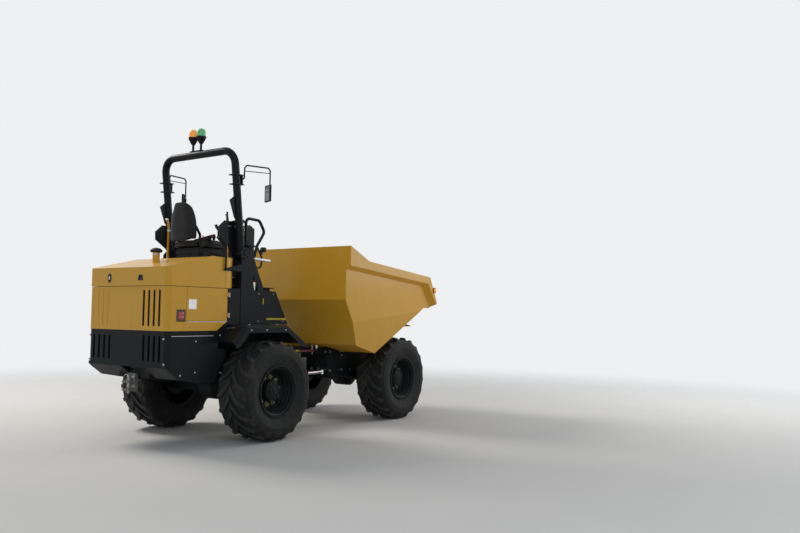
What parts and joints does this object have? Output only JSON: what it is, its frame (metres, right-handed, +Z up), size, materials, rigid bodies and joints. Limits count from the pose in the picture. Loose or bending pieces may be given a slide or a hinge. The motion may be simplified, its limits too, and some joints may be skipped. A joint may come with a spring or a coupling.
{
  "type": "site dumper",
  "caption": "Articulated site dumper with a wide forward-tipping skip, chevron-lugged tyres, rear engine bay, open operator's station and folding protective hoop.",
  "frame": {"origin": "on the ground, at the middle of the machine's length and width", "axes": "+X forward over the skip, +Y to the machine's left, +Z up"},
  "size_m": [4.594, 2.484, 3.7236],
  "materials": {
    "yellow_paint": "semi-gloss",
    "black_paint": "satin",
    "silver_zinc": "zinc plated",
    "red_paint": "semi-gloss",
    "rim_paint": "satin",
    "tyre_rubber": "matt, dusty",
    "engine_alloy": "cast",
    "black_plastic": "moulded",
    "seat_cover": "grained vinyl",
    "amber_lens": "clear lens",
    "green_lens": "clear lens",
    "red_lens": "clear lens",
    "bright_rod": "polished"
  },
  "bodies": {
    "rear_frame": {"rear_chassis": "black_paint", "tow_hitch": "black_paint", "rear_guard": "black_paint", "engine_block": "engine_alloy", "body_panel": "yellow_paint", "seat_console": "yellow_paint", "platform": "black_paint", "hoop_towers": "black_paint", "fenders": "black_paint", "side_boxes": "black_paint", "steps": "black_paint", "rear_axle": "black_paint", "seat_suspension": "black_plastic", "seat_cushion": "seat_cover", "seat_back": "seat_cover", "dash": "black_plastic", "steering_column": "black_paint", "guard_rails": "black_paint", "hand_rails": "yellow_paint", "tail_lamps": "red_lens", "door_hinges": "silver_zinc"},
    "cover": {"engine_cover": "yellow_paint", "intake_stub": "yellow_paint", "rain_cap": "black_plastic"},
    "left_door": {"door_left": "yellow_paint"},
    "right_door": {"door_right": "yellow_paint"},
    "hoop_frame": {"hoop": "black_paint", "mirror_arms": "black_paint", "mirrors": "black_plastic", "beacon_bracket": "black_paint", "beacon_orange": "amber_lens", "beacon_green": "green_lens"},
    "hand_wheel": {"steering_wheel": "black_plastic"},
    "wheel_rear_right": {"tyre_rear_right": "tyre_rubber", "rim_rear_right": "rim_paint"},
    "wheel_rear_left": {"tyre_rear_left": "tyre_rubber", "rim_rear_left": "rim_paint"},
    "front_frame": {"front_chassis": "black_paint", "front_axle": "black_paint", "lock_bar": "red_paint"},
    "wheel_front_right": {"tyre_front_right": "tyre_rubber", "rim_front_right": "rim_paint"},
    "wheel_front_left": {"tyre_front_left": "tyre_rubber", "rim_front_left": "rim_paint"},
    "skip_body": {"skip": "yellow_paint", "skip_lamps": "amber_lens"},
    "tip_barrel": {"tip_barrels": "black_paint"},
    "tip_rod": {"tip_rods": "bright_rod"},
    "steer_barrel_l": {"steer_barrel_left": "black_paint"},
    "steer_rod_l": {"steer_rod_left": "bright_rod"},
    "steer_barrel_r": {"steer_barrel_right": "black_paint"},
    "steer_rod_r": {"steer_rod_right": "bright_rod"}
  },
  "joints": [
    {"name": "articulation", "type": "hinge", "parent": "rear_frame", "child": "front_frame", "pos_m": [0.32, 0, 0.77], "axis": [0, 0, 1], "range_deg": [-32, 32]},
    {"name": "wheel_rear_right_spin", "type": "hinge", "parent": "rear_frame", "child": "wheel_rear_right", "pos_m": [-0.975, -0.863, 0.58], "axis": [0, 1, 0], "continuous": true},
    {"name": "wheel_rear_left_spin", "type": "hinge", "parent": "rear_frame", "child": "wheel_rear_left", "pos_m": [-0.975, 0.863, 0.58], "axis": [0, 1, 0], "continuous": true},
    {"name": "wheel_front_right_spin", "type": "hinge", "parent": "front_frame", "child": "wheel_front_right", "pos_m": [1.615, -0.863, 0.58], "axis": [0, 1, 0], "continuous": true},
    {"name": "wheel_front_left_spin", "type": "hinge", "parent": "front_frame", "child": "wheel_front_left", "pos_m": [1.615, 0.863, 0.58], "axis": [0, 1, 0], "continuous": true},
    {"name": "skip_tip", "type": "hinge", "parent": "front_frame", "child": "skip_body", "pos_m": [1.83, 0, 1], "axis": [0, 1, 0], "range_deg": [0, 65]},
    {"name": "tip_barrel_swing", "type": "hinge", "parent": "front_frame", "child": "tip_barrel", "pos_m": [0.76, 0, 0.69], "axis": [0, 1, 0], "range_deg": [-5, 1]},
    {"name": "tip_rod_slide", "type": "slide", "parent": "tip_barrel", "child": "tip_rod", "axis": [0.83, 0, 0.5577], "range_m": [0, 0.49]},
    {"name": "hoop_fold", "type": "hinge", "parent": "rear_frame", "child": "hoop_frame", "pos_m": [-1.185, 0, 2.18], "axis": [0, 1, 0], "range_deg": [-80, 0]},
    {"name": "cover_lift", "type": "hinge", "parent": "rear_frame", "child": "cover", "pos_m": [-1.4775, 0, 2.1305], "axis": [0, 1, 0], "range_deg": [0, 50]},
    {"name": "left_door_swing", "type": "hinge", "parent": "rear_frame", "child": "left_door", "pos_m": [-1.4335, 0.692, 1.57], "axis": [0, 0, -1], "range_deg": [0, 95]},
    {"name": "right_door_swing", "type": "hinge", "parent": "rear_frame", "child": "right_door", "pos_m": [-1.4335, -0.692, 1.57], "axis": [0, 0, 1], "range_deg": [0, 95]},
    {"name": "hand_wheel_turn", "type": "hinge", "parent": "rear_frame", "child": "hand_wheel", "pos_m": [-0.775, 0, 2.6], "axis": [-0.4271, 0, 0.9042], "continuous": true},
    {"name": "steer_barrel_l_swing", "type": "hinge", "parent": "rear_frame", "child": "steer_barrel_l", "pos_m": [-0.33, 0.39, 0.69], "axis": [0, 0, 1], "range_deg": [-14, 14]},
    {"name": "steer_rod_l_slide", "type": "slide", "parent": "steer_barrel_l", "child": "steer_rod_l", "axis": [0.999, 0.0444, 0], "range_m": [-0.235, 0.235]},
    {"name": "steer_barrel_r_swing", "type": "hinge", "parent": "rear_frame", "child": "steer_barrel_r", "pos_m": [-0.33, -0.39, 0.69], "axis": [0, 0, 1], "range_deg": [-14, 14]},
    {"name": "steer_rod_r_slide", "type": "slide", "parent": "steer_barrel_r", "child": "steer_rod_r", "axis": [0.999, -0.0444, 0], "range_m": [-0.235, 0.235]}
  ],
  "couplings": [
    {"joint": "tip_barrel_swing", "follows": "skip_tip", "ratio": -0.04725},
    {"joint": "tip_rod_slide", "follows": "skip_tip", "m_per_rad": 0.42033},
    {"joint": "steer_barrel_l_swing", "follows": "articulation", "ratio": 0.28647},
    {"joint": "steer_rod_l_slide", "follows": "articulation", "m_per_rad": -0.41335},
    {"joint": "steer_barrel_r_swing", "follows": "articulation", "ratio": 0.28647},
    {"joint": "steer_rod_r_slide", "follows": "articulation", "m_per_rad": 0.41335}
  ]
}
